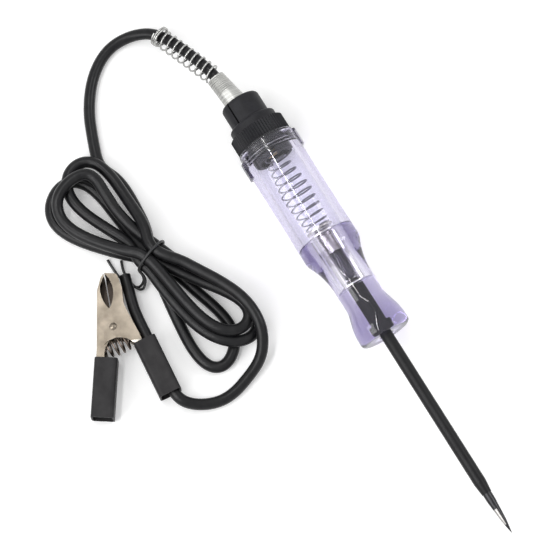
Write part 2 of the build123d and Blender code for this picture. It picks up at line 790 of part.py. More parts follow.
def make_grip_lever():
    inner = handle_depth + cable_d + 2 * close_fit + grip_wall
    outer = close_fit + grip_wall
    return grip(lever_edge(), lever_grip_x, -outer, inner)


# ================= output =================
makers = {
    "barrel": make_barrel,
    "needle_bushing": make_needle_bushing,
    "probe_sleeve": make_probe_sleeve,
    "probe_needle": make_probe_needle,
    "lamp_cage": make_lamp_cage,
    "lamp_base": make_lamp_base,
    "lamp_glass": make_lamp_glass,
    "lamp_insulator": make_lamp_insulator,
    "lamp_contact": make_lamp_contact,
    "lamp_supports": make_lamp_supports,
    "lamp_filament": make_lamp_filament,
    "spring_seat": make_spring_seat,
    "lamp_spring": make_lamp_spring,
    "cap": make_cap,
    "cap_gasket": make_cap_gasket,
    "cable_terminal": make_cable_terminal,
    "wire_strands": make_wire_strands,
    "terminal_solder": make_terminal_solder,
    "ferrule": make_ferrule,
    "strain_spring": make_strain_spring,
    "cable_lead": lambda: cable_tube(lead_route()),
    "cable_hank": make_cable_hank,
    "cable_tail": lambda: cable_tube(tail_route()),
    "twist_tie": make_twist_tie,
    "clip_half_cable": make_clip_half_cable,
    "clip_half_lever": make_clip_half_lever,
    "clip_pin": make_clip_pin,
    "clip_spring": make_clip_spring,
    "clip_strands": make_clip_strands,
    "clip_solder": make_clip_solder,
    "grip_cable": make_grip_cable,
    "grip_lever": make_grip_lever,
}

os.makedirs("parts", exist_ok=True)
for name, make in makers.items():
    export_step(make(), f"parts/{name}.step")
for name, route in (("cable_lead", lead_route()), ("cable_tail", tail_route())):
    tube = cable_tube(route)
    length = tube.volume / (pi * cable_d**2 / 4)
    print(name, "arc radii", [round(r, 1) for r in corner_radii(route)], "length", round(length, 1))
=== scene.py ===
from math import cos, pi, radians, sin

import bmesh
import bpy
from mathutils import Matrix, Vector


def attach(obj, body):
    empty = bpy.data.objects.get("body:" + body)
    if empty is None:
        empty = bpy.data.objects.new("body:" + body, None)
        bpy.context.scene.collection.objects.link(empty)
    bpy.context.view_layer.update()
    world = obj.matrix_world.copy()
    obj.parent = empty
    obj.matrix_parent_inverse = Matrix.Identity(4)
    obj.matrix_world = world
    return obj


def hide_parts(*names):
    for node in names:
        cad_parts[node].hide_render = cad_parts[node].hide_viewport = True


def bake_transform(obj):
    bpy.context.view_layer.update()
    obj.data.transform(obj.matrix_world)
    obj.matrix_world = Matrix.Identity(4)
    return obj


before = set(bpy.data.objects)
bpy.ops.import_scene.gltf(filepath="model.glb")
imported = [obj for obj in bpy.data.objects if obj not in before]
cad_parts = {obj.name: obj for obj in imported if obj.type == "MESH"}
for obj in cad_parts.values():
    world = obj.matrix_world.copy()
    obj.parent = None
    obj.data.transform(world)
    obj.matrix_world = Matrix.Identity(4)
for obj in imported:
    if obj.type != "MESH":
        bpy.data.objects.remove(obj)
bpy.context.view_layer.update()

# ---- camera, floor and light ----
# The tool lies on a plain white table and is seen almost from above, across its handle. Two soft
# lamps stand at its sides, and a long narrow one overhead gives the round parts their bright lines.
look_at = Vector((-0.02149, -0.01892, 0.0))
eye_distance = 0.8
view_turn = radians(58.69)
view_height = radians(76.4)
toward_eye = Vector((
    sin(view_turn) * cos(view_height), -cos(view_turn) * cos(view_height), sin(view_height)
))
across = Vector((cos(view_turn), sin(view_turn), 0))
up_in_view = toward_eye.cross(across)
camera = bpy.data.objects.new("camera", bpy.data.cameras.new("camera"))
camera.data.lens = 154.29
camera.data.sensor_width = 36.0
camera.data.clip_start = 0.01
camera.matrix_world = Matrix.Translation(look_at + toward_eye * eye_distance) @ Matrix((
    across, up_in_view, toward_eye
)).transposed().to_4x4()
bpy.context.scene.collection.objects.link(camera)
bpy.context.scene.camera = camera
bpy.context.scene.view_settings.view_transform = "Standard"

table_half = 3.0
table_below = 0.00005
floor_shape = bmesh.new()
bmesh.ops.create_grid(floor_shape, x_segments=1, y_segments=1, size=table_half)
bmesh.ops.translate(floor_shape, verts=floor_shape.verts, vec=(0, 0, -table_below))
floor_mesh = bpy.data.meshes.new("floor")
floor_shape.to_mesh(floor_mesh)
floor = bpy.data.objects.new("floor", floor_mesh)
bpy.context.scene.collection.objects.link(floor)
table_top = bpy.data.materials.new("table_top")
table_top.use_nodes = True
table_shader = table_top.node_tree.nodes["Principled BSDF"]
table_shader.inputs["Base Color"].default_value = (0.93, 0.93, 0.93, 1)
table_shader.inputs["Roughness"].default_value = 0.9
table_shader.inputs["Specular IOR Level"].default_value = 0.1
table_shader.inputs["Emission Color"].default_value = (1, 1, 1, 1)


def strength_where_seen(tree, target, unseen, in_view):
    """One strength for rays that reach the eye straight, mirrored or through glass, one for the rest."""
    rays = tree.nodes.new("ShaderNodeLightPath")
    reach = rays.outputs["Is Camera Ray"]
    for other in ("Is Glossy Ray", "Is Transmission Ray"):
        either = tree.nodes.new("ShaderNodeMath")
        either.operation = "MAXIMUM"
        tree.links.new(reach, either.inputs[0])
        tree.links.new(rays.outputs[other], either.inputs[1])
        reach = either.outputs[0]
    strength = tree.nodes.new("ShaderNodeMapRange")
    strength.inputs["To Min"].default_value = unseen
    strength.inputs["To Max"].default_value = in_view
    tree.links.new(reach, strength.inputs["Value"])
    tree.links.new(strength.outputs["Result"], target)


strength_where_seen(table_top.node_tree, table_shader.inputs["Emission Strength"], 0.0, 0.2)
floor_mesh.materials.append(table_top)


def soft_lamp(name, place, length, width, watts):
    """A rectangular lamp that faces the middle of the view."""
    lamp = bpy.data.objects.new(name, bpy.data.lights.new(name, "AREA"))
    lamp.data.shape = "RECTANGLE"
    lamp.data.size = length
    lamp.data.size_y = width
    lamp.data.energy = watts
    lamp.location = place
    lamp.rotation_euler = (look_at - place).to_track_quat("-Z", "Y").to_euler()
    bpy.context.scene.collection.objects.link(lamp)


wide_lamp_place = look_at - across * 0.55 - up_in_view * 0.35 + Vector((0, 0, 0.65))
side_lamp_place = look_at + across * 0.65 + up_in_view * 0.25 + Vector((0, 0, 0.55))
line_lamp_place = look_at + Vector((-0.17, -0.20, 0.80))
soft_lamp("lamp_wide", wide_lamp_place, 0.5, 0.5, 3.4)
soft_lamp("lamp_side", side_lamp_place, 0.3, 0.3, 1.8)
soft_lamp("lamp_line", line_lamp_place, 0.9, 0.04, 2.4)

room = bpy.data.worlds.new("room")
room.use_nodes = True
bpy.context.scene.world = room
sky = room.node_tree.nodes["Background"]
sky.inputs["Color"].default_value = (1, 1, 1, 1)
strength_where_seen(room.node_tree, sky.inputs["Strength"], 0.5, 1.0)

# ---- lead: black plastic-covered wire ----
# One limp cable of extruded PVC over copper strands, with a faintly uneven skin. It runs out of the
# cap, is folded into a hank of six loops, and passes the clip's sleeve to end beside the jaws. The
# points of its route are in millimetres.
cable_d = 0.0039
mm = 0.001


class Finish:
    """A material with its shader, and patterns in the piece's own coordinates."""

    def __init__(self, name, colour, roughness, metallic=0.0):
        self.material = bpy.data.materials.new(name)
        self.material.use_nodes = True
        self.tree = self.material.node_tree
        self.shader = self.tree.nodes["Principled BSDF"]
        self.shader.inputs["Base Color"].default_value = (*colour, 1)
        self.shader.inputs["Roughness"].default_value = roughness
        self.shader.inputs["Metallic"].default_value = metallic
        self.place = self.node("TexCoord").outputs["Object"]

    def node(self, kind, **settings):
        """A new node of the shader's tree, with its settings."""
        made = self.tree.nodes.new("ShaderNode" + kind)
        for setting, value in settings.items():
            setattr(made, setting, value)
        return made

    def link(self, start, end):
        self.tree.links.new(start, end)

    def speckle(self, scale, detail=3.0, stretch=(1, 1, 1)):
        """Fine noise, stretched along an axis where the real surface is brushed, drawn or turned."""
        spread = self.node("Mapping")
        spread.inputs["Scale"].default_value = stretch
        self.link(self.place, spread.inputs["Vector"])
        grain = self.node("TexNoise")
        grain.inputs["Scale"].default_value = scale
        grain.inputs["Detail"].default_value = detail
        self.link(spread.outputs["Vector"], grain.inputs["Vector"])
        return grain.outputs["Fac"]

    def vary_colour(self, grain, dark, light, low=0.35, high=0.65):
        """Colour that goes from dark to light as the grain goes from low to high."""
        ramp = self.node("ValToRGB")
        ramp.color_ramp.elements[0].position = low
        ramp.color_ramp.elements[0].color = (*dark, 1)
        ramp.color_ramp.elements[1].position = high
        ramp.color_ramp.elements[1].color = (*light, 1)
        self.link(grain, ramp.inputs["Fac"])
        self.link(ramp.outputs["Color"], self.shader.inputs["Base Color"])
        return ramp.outputs["Color"]

    def vary_roughness(self, grain, least, most):
        spread = self.node("MapRange")
        spread.inputs["To Min"].default_value = least
        spread.inputs["To Max"].default_value = most
        self.link(grain, spread.inputs["Value"])
        self.link(spread.outputs["Result"], self.shader.inputs["Roughness"])

    def raise_grain(self, grain, depth):
        """Relief that follows the grain, so many metres deep."""
        bump = self.node("Bump")
        bump.inputs["Distance"].default_value = depth
        self.link(grain, bump.inputs["Height"])
        self.link(bump.outputs["Normal"], self.shader.inputs["Normal"])


jacket = Finish("cable_jacket", (0.010, 0.010, 0.011), 0.4)
jacket.vary_colour(jacket.speckle(420), (0.006, 0.006, 0.007), (0.011, 0.011, 0.012))
jacket.shader.inputs["Specular IOR Level"].default_value = 0.22
jacket.vary_roughness(jacket.speckle(160), 0.26, 0.38)
jacket.raise_grain(jacket.speckle(900, 2.0), 0.00003)

hank_place = Vector((-49.2, -52.0, 0.0))
hank_turn = radians(19.4)
loop_points = 12
loop_from_deg = 8
loop_sweep_deg = 164
tie_reach = 18
beside_tie = 2.5


def on_hank(along, beside, height):
    """A point in the hank's own axes: along its length from the tie, beside that, and up."""
    return hank_place + Vector((
        along * cos(hank_turn) - beside * sin(hank_turn),
        along * sin(hank_turn) + beside * cos(hank_turn),
        height,
    ))


def height_on_loop(heights, share):
    """The height at a share of the way round a loop, between the heights listed for it."""
    at = share * (len(heights) - 1)
    before = min(int(at), len(heights) - 2)
    return heights[before] + (heights[before + 1] - heights[before]) * (at - before)


def hank_loop(side, reach, lean, lean_rise, out, out_rise, back, back_rise, heights, slot_in, slot_out):
    """One turn from the tie to the loop's end and back, each leg in its own slot under the tie."""
    points = []
    for step in range(loop_points):
        turn = radians(loop_from_deg + loop_sweep_deg * step / (loop_points - 1))
        first_leg = turn < pi / 2
        slot = slot_in if first_leg else slot_out
        bulge = out * sin(turn) ** out_rise if first_leg else back * sin(turn) ** back_rise
        along = side * reach * sin(turn) ** 0.8
        beside = slot[0] * cos(turn) ** 2 + lean * sin(turn) ** lean_rise + bulge * sin(2 * turn)
        under_tie = max(0, 1 - abs(along) / tie_reach)
        height = height_on_loop(heights, turn / pi) * (1 - under_tie) + slot[1] * under_tie
        points.append(on_hank(along, beside, height))
    return points


# Where each run passes under the tie, beside its middle and up, and each loop as hank_loop takes it.
tie_slots = [(1.95, 3.5), (-1.95, 3.5), (0, 6.9), (-1.95, 10.3), (3.9, 6.9), (-3.9, 6.9), (1.95, 10.3)]
hank_loops = [
    (1, 41.9, -10.9, 1.2, 8.5, 0.8, 7.3, 0.0, (2.0, 2.0, 2.0, 2.0, 2.0, 2.0, 2.0)),
    (-1, 40.1, -1.1, 3.0, -10.4, 0.0, -7.3, 0.3, (2.0, 2.0, 2.0, 2.0, 2.0, 2.0, 2.4)),
    (1, 39.1, 1.9, 0.8, 6.8, 0.45, 6.5, 0.15, (5.9, 6.1, 6.2, 6.6, 7.8, 7.8, 9.0)),
    (-1, 37.4, -1.3, 0.3, -7.8, 0.0, -13.2, 1.9, (9.0, 7.0, 6.6, 9.8, 9.6, 8.6, 7.5)),
    (1, 42.9, 1.4, 1.7, 6.9, 0.6, 6.9, 0.0, (5.0, 3.0, 2.4, 4.4, 5.9, 5.9, 6.4)),
    (-1, 40.2, 6.4, 0.25, -7.2, 0.3, -7.8, 0.6, (6.4, 5.9, 5.9, 5.9, 5.9, 6.4, 8.6)),
]
cable_route = [Vector(p) for p in (
    (-59.268, 0, 10.2), (-72.368, 0, 10.2), (-91.5, -2.1, 10.3), (-103.5, -5.5, 8.2), (-115.5, -10.4, 5.7),
    (-120.6, -17.6, 2.6), (-120.8, -27.4, 2.0), (-115.0, -36.6, 2.0), (-105.4, -43.8, 2.0),
    (-95.6, -47.8, 2.0), (-86.4, -51.0, 2.0),
)]
cable_route += [on_hank(*p) for p in (
    (-28, 14.1, 2.0), (-22.7, 13.1, 2.0), (-15.5, 10.3, 2.2), (-8.3, 7.0, 2.6),
)]
for turn_no, loop in enumerate(hank_loops):
    side, slot_in, slot_out = loop[0], tie_slots[turn_no], tie_slots[turn_no + 1]
    cable_route += [on_hank(-side * beside_tie, *slot_in), on_hank(side * beside_tie, *slot_in)]
    cable_route += hank_loop(*loop, slot_in, slot_out)
cable_route += [on_hank(-beside_tie, *tie_slots[-1]), on_hank(beside_tie, *tie_slots[-1])]
cable_route += [on_hank(*p) for p in (
    (9.0, 4.6, 10.0), (14.9, 5.7, 10.0), (20.8, 6.9, 10.0), (26.2, 7.7, 10.0), (31.7, 8.0, 10.0),
    (37.1, 7.2, 9.8), (42.1, 5.3, 9.0), (46.2, 2.2, 7.6), (49.4, -2.4, 5.0), (50.3, -8.2, 2.6),
)]
cable_route += [Vector(p) for p in (
    (4.6, -54.2, 2.0), (2.09, -63.20, 2.6), (-3.29, -68.98, 4.1), (-11.2, -68.25, 4.1),
    (-24.0, -67.1, 4.1), (-36.0, -66.2, 4.1), (-42.5, -64.4, 3.9), (-48.9, -62.6, 3.5),
)]


def nurbs_wire(name, route, diameter, finish):
    """A round wire on one smooth curve whose control points are the route's."""
    curve = bpy.data.curves.new(name, "CURVE")
    curve.dimensions = "3D"
    spline = curve.splines.new("NURBS")
    spline.points.add(len(route) - 1)
    for point, place in zip(spline.points, route):
        point.co = (*(place * mm), 1)
    spline.order_u = 3
    spline.use_endpoint_u = True
    spline.resolution_u = 8
    curve.bevel_depth = diameter / 2
    curve.bevel_resolution = 6
    curve.use_fill_caps = True
    curve.materials.append(finish.material)
    wire = bpy.data.objects.new(name, curve)
    bpy.context.scene.collection.objects.link(wire)
    return wire


cable = nurbs_wire("cable", cable_route, cable_d, jacket)
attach(cable, "lead")
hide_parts("cable_lead", "cable_hank", "cable_tail")

# ---- strain spring: bright steel coil over the lead ----
# A coil of round wire keeps the cable from kinking where it leaves the ferrule. Nine open turns end
# in two closed and slightly wider ones, and the cable bears on one side of it.
strain_start = Vector((-91.435, -2.680, 10.2)) * mm
strain_along = Vector((-0.9322, -0.3174, -0.1736)).normalized()
strain_wire = 0.00065
strain_outer_r = 0.0035
strain_open = (9, 0.0026)
strain_closed = (2.2, 0.00072)
closed_wider_by = 0.0003
closed_from = 0.0225
closing_len = 0.0015


def wound_wire(radius, wire_d, runs, sides=10, steps=28):
    """Round wire wound about X from the origin; each run has its turns and its pitch."""
    coil = bmesh.new()
    ring = bmesh.ops.create_circle(coil, segments=sides, radius=wire_d / 2)["verts"]
    bmesh.ops.rotate(coil, verts=ring, matrix=Matrix.Rotation(pi / 2, 3, "X"))
    bmesh.ops.translate(coil, verts=ring, vec=(0, 0, radius))
    last = coil.verts[:] + coil.edges[:]
    for turns, pitch in runs:
        count = round(turns * steps)
        last = bmesh.ops.spin(
            coil, geom=last, cent=(0, 0, 0), axis=(1, 0, 0), angle=2 * pi * turns, steps=count,
            dvec=(pitch * turns / count, 0, 0), use_merge=False,
        )["geom_last"]
    bmesh.ops.holes_fill(coil, edges=[edge for edge in coil.edges if edge.is_boundary], sides=0)
    bmesh.ops.recalc_face_normals(coil, faces=coil.faces)
    return coil


def ease(share):
    """0 to 1 without a corner at either end."""
    share = min(max(share, 0), 1)
    return share * share * (3 - 2 * share)


def widen(shape, more):
    """Moves each point away from the X axis by more(x), so that a wire keeps its thickness."""
    for vert in shape.verts:
        out = Vector((0, vert.co.y, vert.co.z))
        if out.length > 0:
            vert.co += out.normalized() * more(vert.co.x)


def finished(name, shape, finish, body, sharp=40):
    """The piece from its mesh, smooth up to an angle, in its finish and on its body."""
    mesh = bpy.data.meshes.new(name)
    shape.to_mesh(mesh)
    shape.free()
    mesh.shade_smooth()
    mesh.set_sharp_from_angle(angle=radians(sharp))
    mesh.materials.append(finish.material)
    piece = bpy.data.objects.new(name, mesh)
    bpy.context.scene.collection.objects.link(piece)
    if body:
        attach(piece, body)
    return piece


bright_wire = Finish("bright_wire", (0.42, 0.42, 0.41), 0.22, 1.0)
bright_wire.vary_roughness(bright_wire.speckle(700), 0.16, 0.34)
strain_coil = wound_wire(strain_outer_r - strain_wire / 2, strain_wire, [strain_open, strain_closed])
widen(strain_coil, lambda x: closed_wider_by * ease((x - closed_from) / closing_len))
bmesh.ops.transform(strain_coil, verts=strain_coil.verts, matrix=(
    Matrix.Translation(strain_start) @ strain_along.to_track_quat("X", "Z").to_matrix().to_4x4()
    @ Matrix.Rotation(-pi / 2, 4, "X")
))
strain_spring = finished("strain_coil", strain_coil, bright_wire, "lead")
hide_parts("strain_spring")

# ---- twist tie: black plastic-covered wire round the hank ----
# One turn holds the seven runs of cable together; its two ends cross below the hank and are left
# loose on the table.
tie_d = 0.0009
tie_hoop_r = 0.0063
tie_hoop_height = 6.85
tie_plastic = Finish("tie_plastic", (0.012, 0.012, 0.013), 0.4)
tie_plastic.vary_roughness(tie_plastic.speckle(500), 0.3, 0.5)
hoop = bmesh.new()
hoop_ring = bmesh.ops.create_circle(hoop, segments=12, radius=tie_d / 2)["verts"]
bmesh.ops.rotate(hoop, verts=hoop_ring, matrix=Matrix.Rotation(pi / 2, 3, "X"))
bmesh.ops.translate(hoop, verts=hoop_ring, vec=(0, 0, tie_hoop_r))
bmesh.ops.spin(
    hoop, geom=hoop.verts[:] + hoop.edges[:], axis=(1, 0, 0), angle=2 * pi, steps=48, use_merge=True
)
bmesh.ops.remove_doubles(hoop, verts=hoop.verts, dist=0.000001)
bmesh.ops.recalc_face_normals(hoop, faces=hoop.faces)
bmesh.ops.transform(hoop, verts=hoop.verts, matrix=(
    Matrix.Translation(on_hank(0, 0, tie_hoop_height) * mm) @ Matrix.Rotation(hank_turn, 4, "Z")
))
tie_hoop = finished("tie_hoop", hoop, tie_plastic, "lead")
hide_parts("twist_tie")
tie_ends = {
    "tie_end_1": (
        (-47.1, -57.9, 6.2), (-44.6, -57.0, 4.6), (-42.7, -58.4, 2.8), (-41.9, -60.0, 1.4),
        (-44.2, -61.6, 1.0), (-47.6, -62.0, 0.9), (-50.4, -62.2, 0.8), (-52.6, -61.6, 0.7),
        (-54.6, -60.8, 0.6),
    ),
    "tie_end_2": (
        (-47.2, -57.9, 5.2), (-45.2, -57.2, 4.2), (-43.4, -58.8, 2.4), (-43.6, -61.2, 0.6),
        (-47.6, -63.2, 0.5), (-50.2, -64.3, 0.5), (-53.4, -64.6, 0.5), (-57.2, -64.6, 0.5),
    ),
}
for end_name, end_route in tie_ends.items():
    tie_end = nurbs_wire(end_name, [Vector(p) for p in end_route], tie_d, tie_plastic)
    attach(tie_end, "lead")

# ---- ferrule: nickel-plated brass tube ----
# It is pressed into the split neck of the cap; its outer half is ringed with fine turned grooves.
# The finish's lines run round it, as the lathe left them.


def dress(finish, *names):
    """Gives carried-over pieces of the frame their finish."""
    for name in names:
        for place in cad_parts[name].material_slots:
            place.material = finish.material


turned_nickel = Finish("turned_nickel", (0.42, 0.42, 0.40), 0.24, 1.0)
turning_lines = turned_nickel.speckle(4200, 1.0, (1, 0.02, 0.02))
turned_nickel.vary_roughness(turning_lines, 0.36, 0.50)
turned_nickel.vary_colour(turning_lines, (0.30, 0.30, 0.29), (0.56, 0.56, 0.54))
dress(turned_nickel, "ferrule")

# ---- cap: black moulded plastic ----
# A knurled ring, a smooth ring and a split neck in one moulding, screwed into the barrel's open end.
cap_black = Finish("cap_black", (0.014, 0.014, 0.016), 0.5)
cap_black.vary_colour(cap_black.speckle(500), (0.008, 0.008, 0.010), (0.014, 0.014, 0.017))
cap_black.shader.inputs["Specular IOR Level"].default_value = 0.22
cap_black.vary_roughness(cap_black.speckle(250), 0.42, 0.60)
cap_black.raise_grain(cap_black.speckle(2200, 1.0), 0.00002)
dress(cap_black, "cap")
seal_rubber = Finish("seal_rubber", (0.03, 0.03, 0.032), 0.7)
seal_rubber.vary_roughness(seal_rubber.speckle(600), 0.6, 0.8)
dress(seal_rubber, "cap_gasket")

# ---- wire's end inside the cap: terminal, strands and solder ----
# The bare copper strands go through a brass disc and are soldered in its cup, which the spring presses.
tinned_brass = Finish("tinned_brass", (0.72, 0.58, 0.34), 0.3, 1.0)
tinned_brass.vary_colour(tinned_brass.speckle(300), (0.62, 0.47, 0.25), (0.80, 0.68, 0.45))
dress(tinned_brass, "cable_terminal")
bare_copper = Finish("bare_copper", (0.75, 0.36, 0.20), 0.35, 1.0)
bare_copper.raise_grain(bare_copper.speckle(2500, 1.0, (0.1, 1, 1)), 0.0001)
dress(bare_copper, "wire_strands", "clip_strands")
soft_solder = Finish("soft_solder", (0.60, 0.60, 0.62), 0.3, 1.0)
soft_solder.raise_grain(soft_solder.speckle(900, 1.0), 0.00008)
dress(soft_solder, "terminal_solder", "clip_solder", "lamp_contact")

# ---- lamp: small flanged bulb ----
# Nickel-plated base with a soldered end contact in dark glass, a glass envelope darkened with painted shade,
# and a coiled tungsten filament between two support wires. A cupped washer takes the long spring's push, and a
# cage of polished strips carries the current on to the needle.
plated = Finish("plated_sheet", (0.5, 0.48, 0.45), 0.26, 1.0)
plated.vary_roughness(plated.speckle(800), 0.18, 0.4)
plated.vary_colour(plated.speckle(200), (0.38, 0.36, 0.33), (0.60, 0.58, 0.55))
dress(plated, "lamp_base", "spring_seat")
polished = Finish("polished_strip", (0.85, 0.84, 0.82), 0.15, 1.0)
polished.vary_roughness(polished.speckle(600), 0.08, 0.22)
dress(polished, "lamp_cage")
dark_glass = Finish("dark_glass", (0.03, 0.02, 0.05), 0.15)
dark_glass.vary_colour(dark_glass.speckle(900), (0.02, 0.015, 0.04), (0.05, 0.03, 0.08))
dress(dark_glass, "lamp_insulator")
drawn_wire = Finish("drawn_tungsten", (0.30, 0.30, 0.31), 0.35, 1.0)
drawn_wire.vary_roughness(drawn_wire.speckle(3000, 1.0), 0.25, 0.45)
dress(drawn_wire, "lamp_supports", "lamp_filament")


def let_lamps_through(finish):
    """Clear pieces pass the lamps' light to what is inside them."""
    rays = finish.node("LightPath")
    clear = finish.node("BsdfTransparent")
    either = finish.node("MixShader")
    finish.link(rays.outputs["Is Shadow Ray"], either.inputs["Fac"])
    finish.link(finish.shader.outputs["BSDF"], either.inputs[1])
    finish.link(clear.outputs["BSDF"], either.inputs[2])
    finish.link(either.outputs["Shader"], finish.tree.nodes["Material Output"].inputs["Surface"])


# Painted shade: the envelope's dark tint stands in for the shade around the lamp.
shade_darkened_glass = Finish("shade_darkened_glass", (0.24, 0.22, 0.28), 0.02)
shade_darkened_glass.shader.inputs["Transmission Weight"].default_value = 1.0
shade_darkened_glass.shader.inputs["IOR"].default_value = 1.47
shade_darkened_glass.vary_roughness(shade_darkened_glass.speckle(300), 0.0, 0.04)
let_lamps_through(shade_darkened_glass)
dress(shade_darkened_glass, "lamp_glass")

# ---- long spring: grey steel wire, widest at its middle ----
# It pushes the washer and the lamp towards the seat, and carries the current from the lead's terminal.
axis_up = 0.0102
spring_from = -0.058368
spring_to = -0.027318
spring_len = spring_to - spring_from
spring_wire = 0.0006
spring_end_r = 0.003
end_pitch = 0.0014
open_turns = 10
open_pitch = (spring_len - 2 * end_pitch) / open_turns
widest_at = 0.54
widest_by = 0.0022
less_at_lamp = 0.0013
spring_grey = Finish("spring_grey", (0.20, 0.20, 0.22), 0.3, 1.0)
spring_grey.vary_roughness(spring_grey.speckle(700), 0.2, 0.42)
long_coil = wound_wire(spring_end_r, spring_wire, [(1, end_pitch), (open_turns, open_pitch), (1, end_pitch)])


def belly(x):
    """How much wider the coil is at x than where it starts, at the cap."""
    share = x / spring_len
    if share < widest_at:
        return widest_by * share / widest_at
    return widest_by - less_at_lamp * (share - widest_at) / (1 - widest_at)


widen(long_coil, belly)
bmesh.ops.translate(long_coil, verts=long_coil.verts, vec=(spring_from, 0, axis_up))
long_spring = finished("long_spring", long_coil, spring_grey, None)
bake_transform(long_spring)
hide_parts("lamp_spring")

# ---- barrel: clear moulded plastic handle ----
# One moulding in a faintly lavender clear plastic: straight barrel, waist and flared lip, with a wide
# threaded bore for cap and spring, a lamp bore and a bore for the needle's bushing. Two flat pads
# stand out of its sides next to the cap.
open_end = -0.061968
lip_end = 0.014632
barrel_r = 0.0102
waist_r = 0.0071
lip_r = 0.0091
wide_bore_r = 0.0074
wide_bore_end = -0.024068
lamp_bore_r = 0.0046
lamp_bore_end = -0.004768
bushing_bore_r = 0.0018
head_bore_r = 0.0026
head_bore_end = 0.0105
bore_edge = 0.0001
thread_end = 0.0048
thread_step = 0.0005
thread_depth = 0.0003
pad_proud = 0.0008
pad_half = 0.0024
pad_border = 0.0002
pad_from_y = 0.009
matt_thread = (-0.0612, -0.0576)


def combine(finish, operation, first, second):
    """Two shares multiplied, or the greater of them."""
    both = finish.node("Math", operation=operation)
    finish.link(first, both.inputs[0])
    finish.link(second, both.inputs[1])
    return both.outputs[0]


def band(finish, value, low, high, soft):
    """1 where the value lies between low and high, 0 elsewhere, with soft borders."""
    shares = []
    for start, end in ((low - soft, low), (high + soft, high)):
        rise = finish.node("MapRange", interpolation_type="SMOOTHSTEP")
        rise.inputs["From Min"].default_value = start
        rise.inputs["From Max"].default_value = end
        finish.link(value, rise.inputs["Value"])
        shares.append(rise.outputs["Result"])
    return combine(finish, "MULTIPLY", *shares)


clear_lavender = Finish("clear_lavender", (0.935, 0.94, 0.96), 0.03)
clear_lavender.shader.inputs["Transmission Weight"].default_value = 1.0
clear_lavender.shader.inputs["IOR"].default_value = 1.49
barrel_axes = clear_lavender.node("SeparateXYZ")
clear_lavender.link(clear_lavender.place, barrel_axes.inputs[0])
on_thread = band(clear_lavender, barrel_axes.outputs["X"], *matt_thread, 0.0003)
clear_lavender.vary_roughness(on_thread, 0.01, 0.16)
clear_lavender.raise_grain(clear_lavender.speckle(90, 2.0, (0.25, 1, 1)), 0.00005)
let_lamps_through(clear_lavender)
tint = clear_lavender.node("VolumeAbsorption")
tint.inputs["Color"].default_value = (0.45, 0.395, 0.61, 1)
tint.inputs["Density"].default_value = 100.0
clear_lavender.link(tint.outputs["Volume"], clear_lavender.tree.nodes["Material Output"].inputs["Volume"])


def turned_shape(corners, steps):
    """A turned body about X from its half outline (x, radius, rounding), closed into a ring."""
    shape = bmesh.new()
    outline = [shape.verts.new((x, 0, radius)) for x, radius, rounding in corners]
    shape.faces.new(outline)
    for vert, (x, radius, rounding) in zip(outline, corners):
        if rounding:
            bmesh.ops.bevel(
                shape, geom=[vert], offset=rounding, offset_type="OFFSET",
                segments=8 if rounding > 0.0005 else 3, profile=0.5, affect="VERTICES", material=-1,
            )
    bmesh.ops.delete(shape, geom=shape.faces[:], context="FACES_ONLY")
    on_axis = [edge for edge in shape.edges if all(vert.co.z < 1e-9 for vert in edge.verts)]
    bmesh.ops.delete(shape, geom=on_axis, context="EDGES")
    bmesh.ops.spin(
        shape, geom=shape.verts[:] + shape.edges[:], axis=(1, 0, 0), angle=2 * pi, steps=steps, use_merge=True
    )
    bmesh.ops.remove_doubles(shape, verts=shape.verts, dist=0.0000005)
    bmesh.ops.recalc_face_normals(shape, faces=shape.faces)
    return shape


thread_ridges = [
    (open_end + thread_end - thread_step * ridge, wide_bore_r + thread_depth * (ridge % 2), 0)
    for ridge in range(8)
]
hand_shape = turned_shape([
    (open_end, barrel_r, 0.0004), (-0.018568, barrel_r, 0.00118), (-0.012480, waist_r, 0.0055),
    (0.002132, waist_r, 0.0015), (0.0090, lip_r, 0.002), (lip_end, lip_r, 0.0015),
    (lip_end, head_bore_r, bore_edge), (head_bore_end, head_bore_r, bore_edge),
    (head_bore_end, bushing_bore_r, bore_edge), (lamp_bore_end, bushing_bore_r, bore_edge),
    (lamp_bore_end, lamp_bore_r, 0.0003), (wide_bore_end, lamp_bore_r, bore_edge),
    (wide_bore_end, wide_bore_r, 0.0005),
    *thread_ridges, (open_end, wide_bore_r, 0.0003),
], steps=144)
for side, pad_start, pad_end in ((1, 0.0008, 0.0066), (-1, 0.0027, 0.0086)):
    for cut in (pad_start - pad_border, pad_start, pad_end, pad_end + pad_border):
        bmesh.ops.bisect_plane(
            hand_shape, geom=hand_shape.verts[:] + hand_shape.edges[:] + hand_shape.faces[:],
            plane_co=(open_end + cut, 0, 0), plane_no=(1, 0, 0),
        )
    for vert in hand_shape.verts:
        beside_cap = open_end + pad_start - pad_border / 2 < vert.co.x < open_end + pad_end + pad_border / 2
        if beside_cap and abs(vert.co.z) < pad_half and vert.co.y * side > pad_from_y:
            vert.co.y += pad_proud * side
bmesh.ops.translate(hand_shape, verts=hand_shape.verts, vec=(0, 0, axis_up))
barrel = finished("clear_barrel", hand_shape, clear_lavender, "handle", sharp=30)
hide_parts("barrel")
